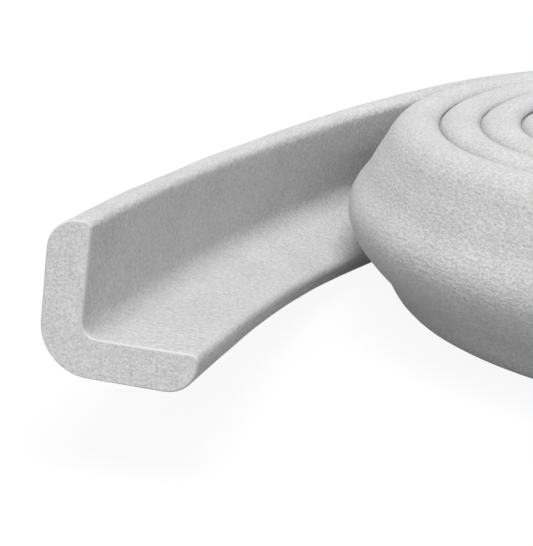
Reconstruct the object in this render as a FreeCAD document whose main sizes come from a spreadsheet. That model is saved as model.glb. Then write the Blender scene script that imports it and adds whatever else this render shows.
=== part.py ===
import FreeCAD, Part
import math
import os
import Sketcher
from FreeCAD import Placement, Rotation, Vector

# Foam edge guard: one moulded strip of soft foam with an L section, wound into a flat roll with
# its corner outwards. Its outermost turn leaves the back of the roll as a tail, which swings
# round beside the roll, turns into a nearly upright L and is cut off square.
# Millimetres and degrees. The roll's axis is vertical; +Z is up.
# In the roll the L lies on its side as a V: its corner, or nose, points away from the axis and
# the two legs reach inwards, one up and one down, so that each turn nests on the next.
# The spiral is drawn from half turns about two centres half a pitch apart, which meet tangent.

SIZES = {
    "leg_length": 35.0,
    "leg_thickness": 9.3,
    "corner_radius": 10.7,
    "wound_corner_radius": 13.9,
    "inner_fillet": 2.9,
    "tip_radius": 7.0,
    "tip_edge_radius": 0.6,
    "wound_half_angle": 52.3,
    "turn_squeeze": 0.6,
    "roll_radius": 105.0,
    "guard_length": 2000.0,
    "leave_angle": 7.8,
    "tail_length": 407.7,
}

# Each row gives the tail's shape at its free end and at a third and two thirds of the way to the
# roll. Where it joins the roll it has the roll's own shape.
# bend: how sharply it turns, in radians a metre. drop: depth of its centreline below the
# roll's middle. lean: angle between the line that halves the legs and an upright L's. half_angle:
# half the angle between the legs.

TAIL = {
    "bend": (-1.31, 5.17, 9.89),
    "drop": (-7.2, 7.7, 2.3),
    "lean": (5.8, 15.9, 41.0),
    "half_angle": (42.9, 47.2, 52.5),
}

UPRIGHT_INWARD = 135.0
WOUND_INWARD = 180.0
LOFT_STATIONS = 15
STEPS_PER_STATION = 40
SHORTEST_STRETCH = 1.0

doc = FreeCAD.newDocument("edge_guard")


def new_sheet(name, cells):
    sheet = doc.addObject("Spreadsheet::Sheet", name)
    add_cells(sheet, cells, 1)
    return sheet


def add_cells(sheet, cells, first_row):
    for row, (alias, value) in enumerate(cells.items(), start=first_row):
        sheet.set(f"A{row}", alias)
        sheet.set(f"B{row}", str(value))
        sheet.setAlias(f"B{row}", alias)


tail_cells = {
    f"{name}_{index}": value
    for name, values in TAIL.items()
    for index, value in enumerate(values)
}
sizes = new_sheet("sizes", SIZES)
tail = new_sheet("tail", tail_cells)
stations = new_sheet("stations", {})
doc.recompute()


def size(alias):
    return float(sizes.get(alias))


def knots(name, in_the_roll):
    """A row of the tail's table, and its value where the tail joins the roll."""
    row = [float(tail.get(f"{name}_{index}")) for index in range(len(TAIL[name]))]
    return row + [in_the_roll]


def sind(angle):
    return math.sin(math.radians(angle))


def cosd(angle):
    return math.cos(math.radians(angle))


def direction(angle):
    return Vector(cosd(angle), sind(angle), 0)


# The centreline runs inside the corner, where the bent strip keeps its length. It lies
# CENTRELINE_DEPTH walls inside both outer faces.

CENTRELINE_DEPTH = 1.3


def nose_to_centreline(half_angle, nose_radius):
    corner_to_centreline = CENTRELINE_DEPTH * size("leg_thickness") / sind(half_angle)
    return corner_to_centreline - nose_radius * (1 / sind(half_angle) - 1)


# A thin wall leaves its tips less to round: at least TIP_FLAT of each leg's end stays flat.

TIP_FLAT = 0.3
TIP_RADIUS = min(size("tip_radius"), size("leg_thickness") - size("tip_edge_radius") - TIP_FLAT)
TIP_FORMULA = (
    f"min(sizes.tip_radius; sizes.leg_thickness - sizes.tip_edge_radius - {TIP_FLAT})"
)

WOUND_HALF_ANGLE = size("wound_half_angle")
TURN_PITCH = size("leg_thickness") / sind(WOUND_HALF_ANGLE) - size("turn_squeeze")
NOSE_DEPTH = nose_to_centreline(WOUND_HALF_ANGLE, size("wound_corner_radius"))
OUTER_CENTRELINE = size("roll_radius") - NOSE_DEPTH


# Section sketch

def arc(centre, radius, start, sweep):
    circle = Part.Circle(centre, Vector(0, 0, 1), radius)
    first = math.radians(start)
    return Part.ArcOfCircle(circle, first, first + math.radians(sweep))


def leg_edges(corner, leg_angle, outward_angle, start, inside):
    """One leg's outer face, tip, end, tip edge and inner face. Its outer face begins at start
    from the sharp corner and its inner face ends at inside from it."""
    length = size("leg_length")
    thickness = size("leg_thickness")
    outer = TIP_RADIUS
    edge = size("tip_edge_radius")

    def at(along, across):
        return corner + direction(leg_angle) * along - direction(outward_angle) * across

    return [
        (at(start, 0), at(length - outer, 0)),
        (at(length - outer, outer), outer, outward_angle, leg_angle),
        (at(length, outer), at(length, thickness - edge)),
        (at(length - edge, thickness - edge), edge, leg_angle, 2 * leg_angle - outward_angle),
        (at(length - edge, thickness), at(inside, thickness)),
    ]


def drawn(edge):
    if len(edge) == 2:
        return Part.LineSegment(*edge)
    centre, radius, first, last = edge
    return arc(centre, radius, min(first, last), abs(last - first))


def section_geometry(corner, inward, half_angle, nose_radius):
    """The L's twelve edges in order. The corner is the sharp meeting point of the outer faces,
    inward is the direction of the line that halves the angle between the legs."""
    fillet = size("inner_fillet")
    thickness = size("leg_thickness")
    start = nose_radius / math.tan(math.radians(half_angle))
    inside = (thickness + fillet) / math.tan(math.radians(half_angle))
    upper = inward - half_angle
    lower = inward + half_angle
    nose_centre = corner + direction(inward) * (nose_radius / sind(half_angle))
    fillet_centre = corner + direction(inward) * ((thickness + fillet) / sind(half_angle))
    rounding = 180 - 2 * half_angle
    upper_leg = [drawn(edge) for edge in leg_edges(corner, upper, upper - 90, start, inside)]
    lower_leg = [drawn(edge) for edge in leg_edges(corner, lower, lower + 90, start, inside)]
    around_fillet = arc(fillet_centre, fillet, lower + 90, rounding)
    around_nose = arc(nose_centre, nose_radius, lower + 90, rounding)
    return upper_leg + [around_fillet] + lower_leg[::-1] + [around_nose]


(UP_OUTER, UP_TIP, UP_END, UP_EDGE, UP_INNER, FILLET,
 LOW_INNER, LOW_EDGE, LOW_END, LOW_TIP, LOW_OUTER, NOSE) = range(12)
START, END, CENTRE = 1, 2, 3

# A nose centre this near the sketch's horizontal axis is held on the axis itself.

ON_AXIS = 1e-6

TANGENT_JOINTS = [
    (UP_OUTER, END, UP_TIP, START),
    (UP_TIP, END, UP_END, START),
    (UP_END, END, UP_EDGE, START),
    (UP_EDGE, END, UP_INNER, START),
    (UP_INNER, END, FILLET, END),
    (FILLET, START, LOW_INNER, END),
    (LOW_INNER, START, LOW_EDGE, START),
    (LOW_EDGE, END, LOW_END, END),
    (LOW_END, START, LOW_TIP, START),
    (LOW_TIP, END, LOW_OUTER, END),
    (LOW_OUTER, START, NOSE, START),
    (NOSE, END, UP_OUTER, START),
]


def bind(sketch, constraint, name, formula):
    index = sketch.addConstraint(constraint)
    sketch.renameConstraint(index, name)
    sketch.setExpression("Constraints." + name, formula)


def section_sketch(name, place, inward, half_angle, nose_radius, across, height):
    """A sketch of the L in a vertical plane, where X runs outwards and Y upwards. Its
    centreline crosses the plane at across and height."""
    cells = {
        "inward_" + name: inward,
        "half_angle_" + name: half_angle,
        "nose_radius_" + name: nose_radius,
        "across_" + name: across,
        "height_" + name: height,
    }
    add_cells(stations, cells, len(cells) * len(sections_drawn) + 1)
    sections_drawn.append(name)
    stations.recompute()
    sketch = body.newObject("Sketcher::SketchObject", "section_" + name)
    sketch.AttachmentSupport = [(upright_plane, "")]
    sketch.MapMode = "FlatFace"
    sketch.AttachmentOffset = place
    depth = (nose_radius - CENTRELINE_DEPTH * size("leg_thickness")) / sind(half_angle)
    nose_centre = Vector(across, height, 0) + direction(inward) * depth
    corner = nose_centre - direction(inward) * (nose_radius / sind(half_angle))
    sketch.addGeometry(section_geometry(corner, inward, half_angle, nose_radius), False)
    for joint in TANGENT_JOINTS:
        sketch.addConstraint(Sketcher.Constraint("Tangent", *joint))
    sketch.addConstraint(Sketcher.Constraint("Parallel", UP_OUTER, UP_INNER))
    sketch.addConstraint(Sketcher.Constraint("Parallel", LOW_OUTER, LOW_INNER))
    sketch.addConstraint(Sketcher.Constraint("Perpendicular", UP_END, UP_OUTER))
    sketch.addConstraint(Sketcher.Constraint("Perpendicular", LOW_END, LOW_OUTER))
    turn = "stations.inward_" + name
    half = "stations.half_angle_" + name
    radius = "stations.nose_radius_" + name
    for edge, label, value, formula in (
        (NOSE, "nose", nose_radius, radius),
        (FILLET, "fillet", size("inner_fillet"), "sizes.inner_fillet"),
        (UP_TIP, "upper_tip", TIP_RADIUS, TIP_FORMULA),
        (LOW_TIP, "lower_tip", TIP_RADIUS, TIP_FORMULA),
        (UP_EDGE, "upper_edge", size("tip_edge_radius"), "sizes.tip_edge_radius"),
        (LOW_EDGE, "lower_edge", size("tip_edge_radius"), "sizes.tip_edge_radius"),
    ):
        bind(sketch, Sketcher.Constraint("Radius", edge, value), label, formula)
    reach = size("leg_length") - nose_radius / math.tan(math.radians(half_angle))
    reach_formula = f"sizes.leg_length - {radius} / tan({half})"
    for inner, start, outer, end, label in (
        (UP_INNER, START, UP_OUTER, UP_END, "upper"),
        (LOW_INNER, START, LOW_OUTER, LOW_END, "lower"),
    ):
        wall = Sketcher.Constraint("Distance", inner, start, outer, size("leg_thickness"))
        bind(sketch, wall, label + "_thickness", "sizes.leg_thickness")
        length = Sketcher.Constraint("Distance", NOSE, CENTRE, end, reach)
        bind(sketch, length, label + "_length", reach_formula)
    turned = Sketcher.Constraint("Angle", UP_OUTER, math.radians(inward - half_angle))
    bind(sketch, turned, "upper_angle", f"{turn} - {half}")
    tucked = Sketcher.Constraint("Angle", LOW_OUTER, math.radians(inward + half_angle))
    bind(sketch, tucked, "lower_angle", f"{turn} + {half}")
    depth_formula = f"({radius} - {CENTRELINE_DEPTH} * sizes.leg_thickness) / sin({half})"
    sideways = Sketcher.Constraint("DistanceX", -1, START, NOSE, CENTRE, nose_centre.x)
    bind(sketch, sideways, "nose_across", f"stations.across_{name} + cos({turn}) * {depth_formula}")
    if abs(nose_centre.y) < ON_AXIS:
        sketch.addConstraint(Sketcher.Constraint("PointOnObject", NOSE, CENTRE, -1))
    else:
        lifted = Sketcher.Constraint("DistanceY", -1, START, NOSE, CENTRE, nose_centre.y)
        bind(sketch, lifted, "nose_height",
             f"stations.height_{name} + sin({turn}) * {depth_formula}")
    sketch.Visibility = False
    return sketch


def upright(centre, angle):
    """Offset of a vertical sketch plane that passes through centre and faces along angle."""
    return Placement(Vector(centre.x, 0, -centre.y), Rotation(Vector(0, 1, 0), angle))


# The roll, wound inwards from where the tail joins it

def half_turn(index, start, sweep, centre_x):
    """One half turn of the roll, counted inwards from the outermost. Returns its length."""
    radius = OUTER_CENTRELINE - index * TURN_PITCH / 2
    place = upright(Vector(centre_x, 0, 0), start)
    sketch = section_sketch(f"turn_{index}", place, WOUND_INWARD, WOUND_HALF_ANGLE,
                            size("wound_corner_radius"), radius, 0.0)
    turn = body.newObject("PartDesign::Revolution", f"half_turn_{index}")
    turn.Profile = sketch
    turn.ReferenceAxis = (sketch, ["V_Axis"])
    turn.Angle = sweep
    turn.Reversed = True
    doc.recompute()
    return math.radians(sweep) * radius


def wind_roll(length):
    length -= half_turn(0, size("leave_angle"), size("leave_angle"), 0)
    index = 1
    while length > SHORTEST_STRETCH:
        radius = OUTER_CENTRELINE - index * TURN_PITCH / 2
        sweep = min(math.degrees(length / radius), 180.0)
        start = 0.0 if index % 2 else 180.0
        centre_x = TURN_PITCH / 2 if index % 2 else 0.0
        length -= half_turn(index, start, sweep, centre_x)
        index += 1


# The tail

def through(values, fraction):
    """A smooth curve through evenly spaced values, which comes in level at the last."""
    spans = len(values) - 1
    middles = [(values[i + 1] - values[i - 1]) / 2 for i in range(1, spans)]
    slopes = [values[1] - values[0]] + middles + [0.0]
    index = min(int(fraction * spans), spans - 1)
    part = fraction * spans - index
    step = values[index + 1] - values[index]
    leaving = slopes[index] * part * (1 - part) ** 2
    arriving = slopes[index + 1] * part ** 2 * (part - 1)
    return values[index] + step * part ** 2 * (3 - 2 * part) + leaving + arriving


def smooth(fraction):
    return fraction ** 2 * (3 - 2 * fraction)


def tail_path():
    """Point, outward direction and share of the way from the free end, at each station of the
    tail's centreline. It runs anticlockwise, seen from above, from the roll outwards."""
    bends = knots("bend", 1000 / OUTER_CENTRELINE)
    steps = (LOFT_STATIONS - 1) * STEPS_PER_STATION
    step = size("tail_length") / steps
    outward = size("leave_angle")
    point = direction(outward) * OUTER_CENTRELINE
    path = [(point, outward, 1.0)]
    for index in range(1, steps + 1):
        turn = math.degrees(through(bends, 1 - (index - 0.5) / steps) / 1000 * step)
        point = point + direction(outward + turn / 2 + 90) * step
        outward += turn
        if index % STEPS_PER_STATION == 0:
            path.append((point, outward, 1 - index / steps))
    return path


def tail_sketch(name, point, outward, fraction):
    lean = through(knots("lean", WOUND_INWARD - UPRIGHT_INWARD), fraction)
    half_angle = through(knots("half_angle", WOUND_HALF_ANGLE), fraction)
    free, wound = size("corner_radius"), size("wound_corner_radius")
    nose_radius = free + (wound - free) * smooth(fraction)
    height = -through(knots("drop", 0.0), fraction)
    return section_sketch(name, upright(point, outward), UPRIGHT_INWARD + lean, half_angle,
                          nose_radius, 0.0, height)


def lay_tail():
    sketches = [
        tail_sketch(f"tail_{index}", *station)
        for index, station in enumerate(tail_path())
    ]
    doc.recompute()
    loft = body.newObject("PartDesign::AdditiveLoft", "tail_stretch")
    loft.Profile = sketches[0]
    loft.Sections = sketches[1:]
    loft.Ruled = False
    loft.Closed = False
    doc.recompute()


body = doc.addObject("PartDesign::Body", "foam_strip")
body.Label = "foam_strip"
doc.recompute()
upright_plane = next(f for f in body.Origin.OriginFeatures if f.Role == "XZ_Plane")
sections_drawn = []

wind_roll(size("guard_length") - size("tail_length"))
lay_tail()

box = body.Shape.optimalBoundingBox(False, False)
body.Placement = Placement(Vector(-box.Center.x, -box.Center.y, -box.ZMin), Rotation())
doc.recompute()

for item in doc.Objects:
    if "Invalid" in item.State or "Error" in item.State:
        raise RuntimeError(f"{item.Name}: {item.State}")

shape = body.Shape
if shape.isNull() or not shape.isValid():
    raise RuntimeError(f"{body.Label} has no valid shape")

os.makedirs("parts", exist_ok=True)
shape.exportStep(f"parts/{body.Label}.step")
print(body.Label, "solids", len(shape.Solids), "volume cm3", round(shape.Volume / 1000, 1))
print("box", shape.optimalBoundingBox(False, False))
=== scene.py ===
import math

import bpy
import numpy as np
from mathutils import Matrix, Vector, noise


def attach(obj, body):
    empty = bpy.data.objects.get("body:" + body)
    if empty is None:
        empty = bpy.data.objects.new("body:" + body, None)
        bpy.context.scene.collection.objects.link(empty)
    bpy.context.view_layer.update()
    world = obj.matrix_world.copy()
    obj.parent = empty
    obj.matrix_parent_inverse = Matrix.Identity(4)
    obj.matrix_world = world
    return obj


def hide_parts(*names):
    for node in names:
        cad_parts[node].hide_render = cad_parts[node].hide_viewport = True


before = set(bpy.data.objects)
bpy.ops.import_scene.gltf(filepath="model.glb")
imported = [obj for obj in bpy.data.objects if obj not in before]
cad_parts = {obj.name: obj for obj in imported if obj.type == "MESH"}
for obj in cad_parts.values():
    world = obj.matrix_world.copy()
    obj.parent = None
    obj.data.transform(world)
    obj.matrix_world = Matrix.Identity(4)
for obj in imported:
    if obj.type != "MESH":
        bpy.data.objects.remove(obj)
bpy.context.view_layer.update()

# Foam edge guard: one strip of light grey foam with an L section, wound into a flat roll.
# Sizes here are in millimetres and degrees, and MM turns them into the frame's metres.

MM = 0.001

LEG_LENGTH = 35.0
LEG_THICKNESS = 9.3
CORNER_RADIUS = 10.7
WOUND_CORNER_RADIUS = 13.9
INNER_FILLET = 2.9
TIP_RADIUS = 7.0
TIP_EDGE_RADIUS = 0.6
WOUND_HALF_ANGLE = 52.3
TURN_SQUEEZE = 0.6
ROLL_RADIUS = 105.0
GUARD_LENGTH = 2000.0
LEAVE_ANGLE = 7.8
TAIL_LENGTH = 407.7
CENTRELINE_DEPTH = 1.3
UPRIGHT_INWARD = 135.0

# Evenly spaced along the tail, from the free end to the roll. BEND is per metre, and its last
# value comes from the roll's radius. The others end with the roll's own value.

BEND = (-1.31, 5.17, 9.89)
DROP = (-7.2, 7.7, 2.3, 0.0)
LEAN = (5.8, 15.9, 41.0, 45.0)
HALF_ANGLE = (42.9, 47.2, 52.5, WOUND_HALF_ANGLE)

# Inner edge of the leg tips at the same places: the loose strip's edges are softer

EDGE_RADIUS = (1.5, 2.2, 1.8, TIP_EDGE_RADIUS)

# The wound legs' outer faces are a little hollow, and swell before their tips.
# Each row gives a place along the leg, a width and how far out the face lies there.

UPPER_FACE = ((11.0, 5.5, -1.1), (26.0, 4.0, 0.7))
LOWER_FACE = ((11.0, 5.0, -0.3), (20.0, 4.5, -0.8), (28.5, 3.0, 0.2))

# The tail meets the roll's left side gradually. The turn under it is still free for this
# length past the roll's leftmost point, and is covered after as much again.

COVER_FADE = 70.0

STATION_STEP = 2.5
PATH_STEP = 0.25
SHORTEST_RUN = 1.0
TURN_GAP = 0.12
END_BEVEL = 0.4


def sind(angle):
    return np.sin(np.radians(angle))


def cosd(angle):
    return np.cos(np.radians(angle))


TURN_PITCH = LEG_THICKNESS / sind(WOUND_HALF_ANGLE) - TURN_SQUEEZE


def corner_to_centreline(half_angle):
    return CENTRELINE_DEPTH * LEG_THICKNESS / sind(half_angle)


NOSE_DEPTH = (corner_to_centreline(WOUND_HALF_ANGLE)
              - WOUND_CORNER_RADIUS * (1 / sind(WOUND_HALF_ANGLE) - 1))
OUTER_CENTRELINE = ROLL_RADIUS - NOSE_DEPTH
LEFTMOST = TAIL_LENGTH + math.radians(LEAVE_ANGLE + 180) * OUTER_CENTRELINE


def through(values, fraction):
    """A smooth curve through evenly spaced values, which comes in level at the last."""
    values = np.asarray(values, float)
    spans = len(values) - 1
    slopes = np.zeros(len(values))
    slopes[0] = values[1] - values[0]
    slopes[1:-1] = (values[2:] - values[:-2]) / 2
    index = np.minimum((fraction * spans).astype(int), spans - 1)
    part = fraction * spans - index
    step = values[index + 1] - values[index]
    leaving = slopes[index] * part * (1 - part) ** 2
    arriving = slopes[index + 1] * part ** 2 * (part - 1)
    return values[index] + step * part ** 2 * (3 - 2 * part) + leaving + arriving


def blend(first, last, share):
    return first + (last - first) * share ** 2 * (3 - 2 * share)


# Centreline in plan, about the centre of the roll's outermost back half turn

def leaving_path():
    """Points from the roll's back out to the free end: x, y and outward direction."""
    steps = int(TAIL_LENGTH / PATH_STEP)
    step = TAIL_LENGTH / steps
    share = 1 - (np.arange(steps) + 0.5) / steps
    curvature = np.array(list(BEND) + [1000 / OUTER_CENTRELINE]) / 1000
    turns = np.degrees(through(curvature, share) * step)
    outward = LEAVE_ANGLE + np.concatenate([[0], np.cumsum(turns)])
    heading = (outward[:-1] + outward[1:]) / 2 + 90
    x = np.concatenate([[0], np.cumsum(cosd(heading))]) * step
    y = np.concatenate([[0], np.cumsum(sind(heading))]) * step
    x += OUTER_CENTRELINE * cosd(LEAVE_ANGLE)
    y += OUTER_CENTRELINE * sind(LEAVE_ANGLE)
    return x, y, outward


def wound_path(length):
    """Points inwards from where the strip leaves the roll, by half turns about two centres."""
    xs, ys, outs = [], [], []
    start, sweep, index = LEAVE_ANGLE, LEAVE_ANGLE, 0
    while length > SHORTEST_RUN:
        radius = OUTER_CENTRELINE - index * TURN_PITCH / 2
        centre = TURN_PITCH / 2 if index % 2 else 0.0
        sweep = min(sweep, math.degrees(length / radius))
        count = max(int(math.radians(sweep) * radius / PATH_STEP), 2)
        angles = start - np.linspace(0, sweep, count + 1)[1:]
        xs.append(centre + radius * cosd(angles))
        ys.append(radius * sind(angles))
        outs.append(angles)
        length -= math.radians(sweep) * radius
        start -= sweep
        sweep = 180.0
        index += 1
    return np.concatenate(xs), np.concatenate(ys), np.concatenate(outs)


class Path:
    """The centreline's stations from the free end inwards, and the section at each."""

    def __init__(self):
        ox, oy, oa = leaving_path()
        wx, wy, wa = wound_path(GUARD_LENGTH - TAIL_LENGTH)
        x = np.concatenate([ox[::-1], wx])
        y = np.concatenate([oy[::-1], wy])
        outward = np.concatenate([oa[::-1], wa])
        run = np.concatenate([[0], np.cumsum(np.hypot(np.diff(x), np.diff(y)))])
        total = run[-1]
        inner = np.linspace(END_BEVEL, total - END_BEVEL, int(total / STATION_STEP))
        self.s = np.concatenate([[0], inner, [total]])
        self.x = np.interp(self.s, run, x)
        self.y = np.interp(self.s, run, y)
        self.outward = np.interp(self.s, run, outward)
        self.share = np.clip(self.s / TAIL_LENGTH, 0, 1)
        self.height = -through(DROP, self.share)
        self.inward = UPRIGHT_INWARD + through(LEAN, self.share)
        self.half_angle = through(HALF_ANGLE, self.share)
        self.nose_radius = blend(CORNER_RADIUS, WOUND_CORNER_RADIUS, self.share)
        self.edge = through(EDGE_RADIUS, self.share)
        self.covered = np.clip((self.s - LEFTMOST) / COVER_FADE - 1, 0, 1)
        second_half = np.clip(self.share * 2 - 1, 0, 1)
        self.pressed = blend(0, 1, second_half) * (1 - self.covered)
        wound_wall = (TURN_PITCH - TURN_GAP) * sind(WOUND_HALF_ANGLE)
        self.wall = blend(LEG_THICKNESS, wound_wall, second_half)

    def section(self, i):
        angle, wall, nose = self.half_angle[i], self.wall[i], self.nose_radius[i]
        return outline(angle, wall, nose, self.edge[i], self.pressed[i])


# Section outline: x along the line that halves the legs' angle, from the sharp corner inwards.
# The points of its lines and arcs are counted with both ends.

FACE_POINTS = 16
TIP_POINTS = 9
FLAT_POINTS = 2
EDGE_POINTS = 6
INSIDE_POINTS = 12
FILLET_POINTS = 5
NOSE_POINTS = 14


def arc(cx, cy, radius, start, sweep, count):
    angles = start + np.linspace(0, sweep, count)
    return np.stack([cx + radius * cosd(angles), cy + radius * sind(angles)], -1)


def run_line(a, b, count):
    share = np.linspace(0, 1, count)[:, None]
    return np.array(a) + (np.array(b) - np.array(a)) * share


def rise(along, face):
    """How far out an outer face lies at each distance along the leg."""
    return sum(out * np.exp(-((along - place) / width) ** 2) for place, width, out in face)


def leg_outline(half_angle, wall, nose_radius, edge, pressed, face):
    """Outer face, round tip and inner face of one leg, turned to its side of the V."""
    cot = 1 / math.tan(math.radians(half_angle))
    tip = TIP_RADIUS
    inside = (wall + INNER_FILLET) * cot
    outer = np.concatenate([
        run_line((nose_radius * cot, 0), (LEG_LENGTH - tip, 0), FACE_POINTS)[:-1],
        arc(LEG_LENGTH - tip, tip, tip, -90, 90, TIP_POINTS)[:-1],
    ])
    outer[:, 1] -= pressed * rise(outer[:, 0], face)
    leg = np.concatenate([
        outer,
        run_line((LEG_LENGTH, tip), (LEG_LENGTH, wall - edge), FLAT_POINTS)[:-1],
        arc(LEG_LENGTH - edge, wall - edge, edge, 0, 90, EDGE_POINTS)[:-1],
        run_line((LEG_LENGTH - edge, wall), (inside, wall), INSIDE_POINTS),
    ])
    along, across = leg[:, 0], leg[:, 1]
    c, s = cosd(half_angle), sind(half_angle)
    return np.stack([along * c + across * s, along * s - across * c], -1)


def nose_outline(half_angle, nose_radius, pressed):
    """The round corner between the two outer faces."""
    opening = 2 * half_angle
    angles = 270 - half_angle + np.linspace(0, opening - 180, NOSE_POINTS)[1:-1]
    from_end = np.radians(90 - half_angle - np.abs(angles - 180)) * nose_radius
    along = nose_radius / math.tan(math.radians(half_angle)) - from_end
    out = np.where(angles > 180, rise(along, LOWER_FACE), rise(along, UPPER_FACE))
    radius = nose_radius + pressed * out
    centre = nose_radius / sind(half_angle)
    return np.stack([centre + radius * cosd(angles), radius * sind(angles)], -1)


def outline(half_angle, wall, nose_radius, edge, pressed):
    upper = leg_outline(half_angle, wall, nose_radius, edge, pressed, UPPER_FACE)
    lower = leg_outline(half_angle, wall, nose_radius, edge, pressed, LOWER_FACE)
    fillet_x = (wall + INNER_FILLET) / sind(half_angle)
    rounding = 180 - 2 * half_angle
    fillet = arc(fillet_x, 0, INNER_FILLET, 90 + half_angle, rounding, FILLET_POINTS)[1:-1]
    nose = nose_outline(half_angle, nose_radius, pressed)
    return np.concatenate([upper, fillet, lower[::-1] * [1, -1], nose])


def inset(shape, depth):
    """The outline moved towards the foam by depth."""
    ahead = np.roll(shape, -1, 0) - shape
    behind = shape - np.roll(shape, 1, 0)
    ahead /= np.linalg.norm(ahead, axis=1)[:, None]
    behind /= np.linalg.norm(behind, axis=1)[:, None]
    tangent = ahead + behind
    tangent /= np.linalg.norm(tangent, axis=1)[:, None]
    return shape + np.stack([tangent[:, 1], -tangent[:, 0]], -1) * depth


def strip_rings(path):
    """Every station's outline about the roll's centre: stations by points by three."""
    rows = []
    for i in range(len(path.s)):
        shape = path.section(i)
        if i in (0, len(path.s) - 1):
            shape = inset(shape, END_BEVEL)
        inwards = shape[:, 0] - corner_to_centreline(path.half_angle[i])
        beside = shape[:, 1]
        c, s = cosd(path.inward[i]), sind(path.inward[i])
        out = inwards * c + beside * s
        up = inwards * s - beside * c
        x = path.x[i] + out * cosd(path.outward[i])
        y = path.y[i] + out * sind(path.outward[i])
        rows.append(np.stack([x, y, path.height[i] + up], -1))
    return np.array(rows)


# Soft unevenness of the moulded skin: wavelength and height in millimetres

WAVES = ((34.0, 0.22), (13.0, 0.10))


def unevenness(points):
    """Height of the skin's gentle waves at each point, in millimetres."""
    heights = np.zeros(len(points))
    for length, height in WAVES:
        heights += height * np.array([noise.noise(Vector(p / length)) for p in points])
    return heights


def add_waves(rings):
    """The rings with the waves on them. The two cut ends stay flat."""
    along = np.gradient(rings, axis=0)
    around = (np.roll(rings, -1, 1) - np.roll(rings, 1, 1)) / 2
    normal = np.cross(around, along)
    normal /= np.linalg.norm(normal, axis=2)[..., None]
    heights = unevenness(rings.reshape(-1, 3)).reshape(rings.shape[:2])
    heights[0] = 0
    heights[-1] = 0
    return rings + normal * heights[..., None]


# Painted shade: the skin's colour is darkened where neighbouring turns touch, standing in for the
# shade between them. The places on the tail are shares of its length: where it nears the roll,
# how soon the shade is full, and where it joins.

PAINTED_SHADE_REACH = 1.4
TAIL_PAINTED_SHADE_REACH = 3.8
PAINTED_CREASE_DARKENING = 0.3
NEARING_FROM = 0.47
NEARING_SPAN = 0.06
JOINING_FROM = 0.7


def closeness(shape, spot, reach):
    """How near each outline point lies to a touching spot of the upper or the lower leg."""
    mirror = spot * [1, -1]
    away = np.minimum(np.linalg.norm(shape - spot, axis=1), np.linalg.norm(shape - mirror, axis=1))
    return np.exp(-(away / reach) ** 2)


def painted_crease_shade_shares(path):
    """Share of the painted shade at each point of each station, which darkens the skin where turns
    touch. A turn's inner edge touches the next turn in, and its outer face the turn outside it.
    The tail's inner edge only nears the roll, so its painted shade is wider, and starts where the
    gap closes."""
    rows = []
    nested = LEG_LENGTH - TIP_EDGE_RADIUS - TURN_PITCH * cosd(WOUND_HALF_ANGLE)
    for i in range(len(path.s)):
        half_angle, wall = path.half_angle[i], path.wall[i]
        shape = path.section(i)
        c, s = cosd(half_angle), sind(half_angle)
        inner_edge = np.array([LEG_LENGTH * c + wall * s, LEG_LENGTH * s - wall * c])
        outer_face = np.array([nested * c, nested * s])
        nearing = np.clip((path.share[i] - NEARING_FROM) / NEARING_SPAN, 0, 1)
        joined = np.clip((path.share[i] - JOINING_FROM) / (1 - JOINING_FROM), 0, 1)
        reach = blend(TAIL_PAINTED_SHADE_REACH, PAINTED_SHADE_REACH, joined)
        inside = closeness(shape, inner_edge, reach) * nearing
        outside = closeness(shape, outer_face, PAINTED_SHADE_REACH) * path.covered[i]
        rows.append(np.maximum(inside, outside))
    return np.array(rows)


def insides(path):
    """1 at each station's points on the inside of the L, and 0 on its outside."""
    rows = []
    for i in range(len(path.s)):
        shape = path.section(i)
        half_angle, wall = path.half_angle[i], path.wall[i]
        across = shape[:, 0] * sind(half_angle) - np.abs(shape[:, 1]) * cosd(half_angle)
        rows.append(np.clip((across - wall) / TIP_EDGE_RADIUS + 1, 0, 1))
    return np.array(rows)


# Mesh

SKIN, CUT, RIM = range(3)


def add_values(mesh, name, values):
    layer = mesh.attributes.new(name, "FLOAT", "POINT")
    layer.data.foreach_set("value", values.reshape(-1).astype(np.float32))


def add_uv(mesh, path, ring, quads):
    """Metres along the strip and around its section, on the quads of the skin."""
    around = len(ring)
    sides = np.linalg.norm(np.roll(ring, -1, 0) - ring, axis=1)
    girth = np.concatenate([[0], np.cumsum(sides)])
    step = quads % around
    at_seam = (step.max(1) == around - 1)[:, None]
    v = girth[np.where((step == 0) & at_seam, around, step)]
    u = (path.s * MM)[quads // around]
    flat = np.stack([u, v], -1).reshape(-1, 2)
    uvs = np.zeros((len(mesh.loops), 2))
    uvs[:len(flat)] = flat
    layer = mesh.uv_layers.new(name="along_and_around")
    layer.data.foreach_set("uv", uvs.reshape(-1).astype(np.float32))


def strip_mesh(path, rings):
    """One closed mesh: the skin as rings of quads, and a flat cut face on each end."""
    count, around = rings.shape[:2]
    i = np.arange(count - 1)[:, None] * around
    j = np.arange(around)
    k = (j + 1) % around
    quads = np.stack([i + j, i + k, i + k + around, i + j + around], -1).reshape(-1, 4)
    faces = quads.tolist()
    faces.append(list(range(around))[::-1])
    faces.append(list(range((count - 1) * around, count * around)))
    mesh = bpy.data.meshes.new("foam_guard")
    mesh.from_pydata(rings.reshape(-1, 3).tolist(), [], faces)
    mesh.update()
    add_uv(mesh, path, rings[0], quads)
    # Painted shade where neighbouring turns touch, as a share at each point
    add_values(mesh, "painted_shade_share", painted_crease_shade_shares(path))
    add_values(mesh, "inside", insides(path))
    mesh.shade_smooth()
    finish_ends(mesh, around)
    return mesh


def finish_ends(mesh, around):
    """The two flat cut faces, which come last, and the ring of skin faces that rims each."""
    faces = list(mesh.polygons)
    skin, cuts = faces[:-2], faces[-2:]
    for face in skin[:around] + skin[-around:]:
        face.material_index = RIM
    for face in cuts:
        face.material_index = CUT
        face.use_smooth = False


# Materials

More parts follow.
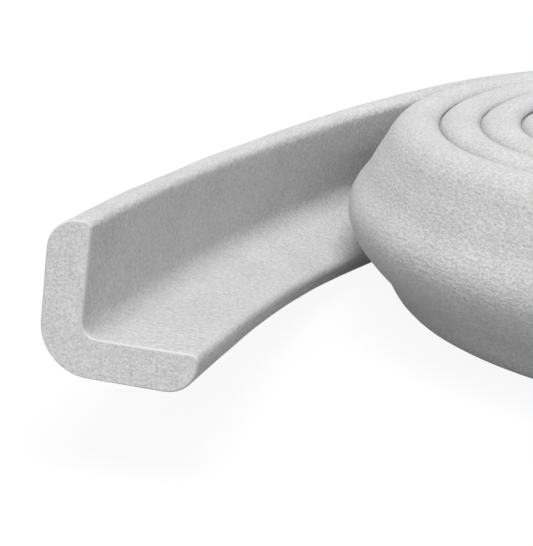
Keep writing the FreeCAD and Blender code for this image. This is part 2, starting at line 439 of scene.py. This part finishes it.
FLOOR_SHADED = 0.08
FLOOR_GLOW = 0.92
FLOOR_BOUNCE = 0.28
SKY_STRENGTH = 0.44
RIM_GREY = 0.76
WHITE = (1, 1, 1, 1)


def grey(value):
    return (value, value, value, 1)


class Paint:
    """A new material, with short calls for the nodes that the foam needs."""

    def __init__(self, name, roughness, specular=0.5):
        self.material = bpy.data.materials.new(name)
        self.material.use_nodes = True
        self.nodes = self.material.node_tree.nodes
        self.links = self.material.node_tree.links
        self.shader = self.nodes["Principled BSDF"]
        self.shader.inputs["Roughness"].default_value = roughness
        self.shader.inputs["Specular IOR Level"].default_value = specular

    def add(self, kind, **values):
        """A node whose inputs, named with _ for a space, take these values."""
        node = self.nodes.new(kind)
        for name, value in values.items():
            node.inputs[name.replace("_", " ")].default_value = value
        return node

    def noise(self, source, scale, detail, roughness=0.5):
        node = self.add("ShaderNodeTexNoise", Scale=scale, Detail=detail, Roughness=roughness)
        self.links.new(source, node.inputs["Vector"])
        return node.outputs["Fac"]

    def cells(self, source, scale):
        node = self.add("ShaderNodeTexVoronoi", Scale=scale)
        self.links.new(source, node.inputs["Vector"])
        return node.outputs["Distance"]

    def stretched(self, source, scale):
        node = self.add("ShaderNodeMapping", Scale=scale)
        self.links.new(source, node.inputs["Vector"])
        return node.outputs["Vector"]

    def bump(self, height, distance, strength, before=None):
        node = self.add("ShaderNodeBump", Distance=distance, Strength=strength)
        self.links.new(height, node.inputs["Height"])
        if before is not None:
            self.links.new(before, node.inputs["Normal"])
        return node.outputs["Normal"]

    def ramp(self, source, low, high, dark, light):
        node = self.add("ShaderNodeMapRange", From_Min=low, From_Max=high,
                        To_Min=dark, To_Max=light)
        self.links.new(source, node.inputs["Value"])
        return node.outputs["Result"]

    def product(self, first, second):
        node = self.nodes.new("ShaderNodeMath")
        node.operation = "MULTIPLY"
        self.links.new(first, node.inputs[0])
        self.links.new(second, node.inputs[1])
        return node.outputs[0]

    def value(self, name):
        """The mesh's own value of that name."""
        node = self.nodes.new("ShaderNodeAttribute")
        node.attribute_name = name
        return node.outputs["Fac"]

    def finish(self, colour, normal):
        self.links.new(colour, self.shader.inputs["Base Color"])
        self.links.new(normal, self.shader.inputs["Normal"])
        return self.material


def foam_material():
    """Matt grey skin: fine grain, short wrinkles along the strip and across its inside, a little
    mottling, and painted shade where neighbouring turns touch."""
    paint = Paint("foam_skin", roughness=0.8, specular=0.3)
    place = paint.nodes.new("ShaderNodeTexCoord").outputs
    solid = place["Object"]
    lengthwise = paint.stretched(place["UV"], (0.5, 1.0, 1.0))
    crosswise = paint.stretched(place["UV"], (1.0, 0.35, 1.0))
    wrinkles = paint.noise(lengthwise, scale=1250, detail=2)
    ribs = paint.ramp(paint.noise(crosswise, scale=900, detail=2), 0.0, 1.0, -0.5, 0.5)
    inner_ribs = paint.product(ribs, paint.value("inside"))
    dimples = paint.noise(solid, scale=420, detail=2)
    grain = paint.noise(solid, scale=1700, detail=2, roughness=0.6)
    normal = paint.bump(dimples, distance=0.0006, strength=0.25)
    normal = paint.bump(wrinkles, distance=0.0005, strength=0.55, before=normal)
    normal = paint.bump(grain, distance=0.0003, strength=0.6, before=normal)
    normal = paint.bump(inner_ribs, distance=0.0009, strength=1.0, before=normal)
    mottling = paint.ramp(paint.noise(solid, scale=60, detail=3), 0.3, 0.7, 0.66, 0.71)
    specks = paint.ramp(paint.noise(solid, scale=1300, detail=1), 0.35, 0.65, 0.88, 1.09)
    # Painted shade: the skin's colour is darkened where neighbouring turns touch
    painted_crease_shade = paint.ramp(paint.value("painted_shade_share"), 0.0, 1.0, 1.0, 1 - PAINTED_CREASE_DARKENING)
    return paint.finish(paint.product(paint.product(mottling, specks), painted_crease_shade), normal)


def cut_material():
    """The sliced end: open cells, as a fine speckle with small pits. Its colour is painted lighter
    than the skin's, as painted light for this end, which gets little of the key lamp's light.
    """
    paint = Paint("foam_cut_face", roughness=0.9, specular=0.2)
    solid = paint.nodes.new("ShaderNodeTexCoord").outputs["Object"]
    pits = paint.ramp(paint.cells(solid, scale=1500), 0.15, 0.75, 0.0, 1.0)
    grain = paint.noise(solid, scale=1700, detail=2, roughness=0.6)
    # Painted light: the speckle's range is set lighter than the skin, so the end, facing away from
    # the key lamp, comes out as light as the rest of the foam
    speckle_with_painted_light = paint.ramp(grain, 0.3, 0.7, 0.75, 1.08)
    clouds = paint.ramp(paint.noise(solid, scale=260, detail=3), 0.3, 0.7, 0.97, 1.03)
    normal = paint.bump(pits, distance=0.0002, strength=0.2)
    return paint.finish(paint.product(speckle_with_painted_light, clouds), normal)


def rim_material():
    """The skin's thin edge around a sliced end, a little lighter than the skin."""
    paint = Paint("foam_rim", roughness=0.8)
    paint.shader.inputs["Base Color"].default_value = grey(RIM_GREY)
    return paint.material


def add_seen(nodes, links):
    """1 for the rays that show a surface to the camera, directly or in gloss and glass."""
    rays = nodes.new("ShaderNodeLightPath")
    seen = rays.outputs["Is Camera Ray"]
    for kind in ("Is Glossy Ray", "Is Transmission Ray"):
        either = nodes.new("ShaderNodeMath")
        either.operation = "MAXIMUM"
        links.new(seen, either.inputs[0])
        links.new(rays.outputs[kind], either.inputs[1])
        seen = either.outputs[0]
    return seen


def show_white(nodes, links, plain, white, output):
    """The white shader where it is seen, and the plain one for the light it sheds."""
    mix = nodes.new("ShaderNodeMixShader")
    links.new(add_seen(nodes, links), mix.inputs["Fac"])
    links.new(plain.outputs[0], mix.inputs[1])
    links.new(white.outputs[0], mix.inputs[2])
    links.new(mix.outputs[0], output.inputs["Surface"])


def floor_material():
    """White with a faint shadow to the camera, and a mid grey to the light that bounces."""
    paint = Paint("white_floor", roughness=0.9)
    paint.shader.inputs["Base Color"].default_value = grey(FLOOR_BOUNCE)
    shaded = paint.add("ShaderNodeBsdfDiffuse", Color=grey(FLOOR_SHADED))
    glow = paint.add("ShaderNodeEmission", Strength=FLOOR_GLOW)
    white = paint.nodes.new("ShaderNodeAddShader")
    paint.links.new(shaded.outputs[0], white.inputs[0])
    paint.links.new(glow.outputs[0], white.inputs[1])
    output = paint.nodes["Material Output"]
    show_white(paint.nodes, paint.links, paint.shader, white, output)
    return paint.material


def add_object(name, data):
    item = bpy.data.objects.new(name, data)
    bpy.context.collection.objects.link(item)
    return item


# Build: the strip is centred on its own box, which is where the frame's origin lies

path = Path()
rings = strip_rings(path)
low = rings.reshape(-1, 3).min(0)
high = rings.reshape(-1, 3).max(0)
roll_centre = np.array([-(low[0] + high[0]) / 2, -(low[1] + high[1]) / 2, -low[2]])
mesh = strip_mesh(path, (add_waves(rings) + roll_centre) * MM)
for material in (foam_material(), cut_material(), rim_material()):
    mesh.materials.append(material)
strip = add_object("foam_guard", mesh)
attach(strip, "root")
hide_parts("foam_strip")

# Studio: a floor, a plain sky and lamps, each with its strength, its width in degrees and the
# way its light travels

FLOOR_HALF = 3.0
LAMPS = {
    "key": (1.95, 32, (-0.05, 0.26, -0.965)),
    "fill": (0.3, 50, (0.15, 0.93, -0.33)),
}

floor_mesh = bpy.data.meshes.new("floor")
corners = [(x * FLOOR_HALF, y * FLOOR_HALF, 0) for x, y in ((-1, -1), (1, -1), (1, 1), (-1, 1))]
floor_mesh.from_pydata(corners, [], [(0, 1, 2, 3)])
floor_mesh.materials.append(floor_material())
add_object("floor", floor_mesh)

world = bpy.data.worlds.new("studio")
bpy.context.scene.world = world
world.use_nodes = True
world_nodes, world_links = world.node_tree.nodes, world.node_tree.links
sky = world_nodes["Background"]
backdrop = world_nodes.new("ShaderNodeBackground")
for source, strength in ((sky, SKY_STRENGTH), (backdrop, 1.0)):
    source.inputs["Color"].default_value = WHITE
    source.inputs["Strength"].default_value = strength
show_white(world_nodes, world_links, sky, backdrop, world_nodes["World Output"])

for name, (energy, angle, direction) in LAMPS.items():
    light = bpy.data.lights.new(name, "SUN")
    light.energy = energy
    light.angle = math.radians(angle)
    lamp = add_object(name, light)
    lamp.rotation_euler = Vector(direction).to_track_quat("-Z", "Y").to_euler()

# Camera: its place from the roll's centre in millimetres, and its turn in radians, from the
# photo's lines. Blender fits the sensor's width to the photo's longer side, its height.

FOCAL_PIXELS = 1423.7
PHOTO_HEIGHT = 546
SENSOR = 36
CAMERA_FROM_ROLL = (-116.53, -376.04, 113.17)
CAMERA_PITCH = 0.3362
CAMERA_ROLL = 0.0008

camera_data = bpy.data.cameras.new("camera")
camera_data.sensor_width = SENSOR
camera_data.lens = FOCAL_PIXELS / PHOTO_HEIGHT * SENSOR
camera = add_object("camera", camera_data)
turn = Matrix.Rotation(math.pi / 2 - CAMERA_PITCH, 4, "X") @ Matrix.Rotation(CAMERA_ROLL, 4, "Z")
spot = (np.array(CAMERA_FROM_ROLL) + roll_centre) * MM
camera.matrix_world = Matrix.Translation(Vector(spot)) @ turn
bpy.context.scene.camera = camera
bpy.context.scene.view_settings.view_transform = "Standard"
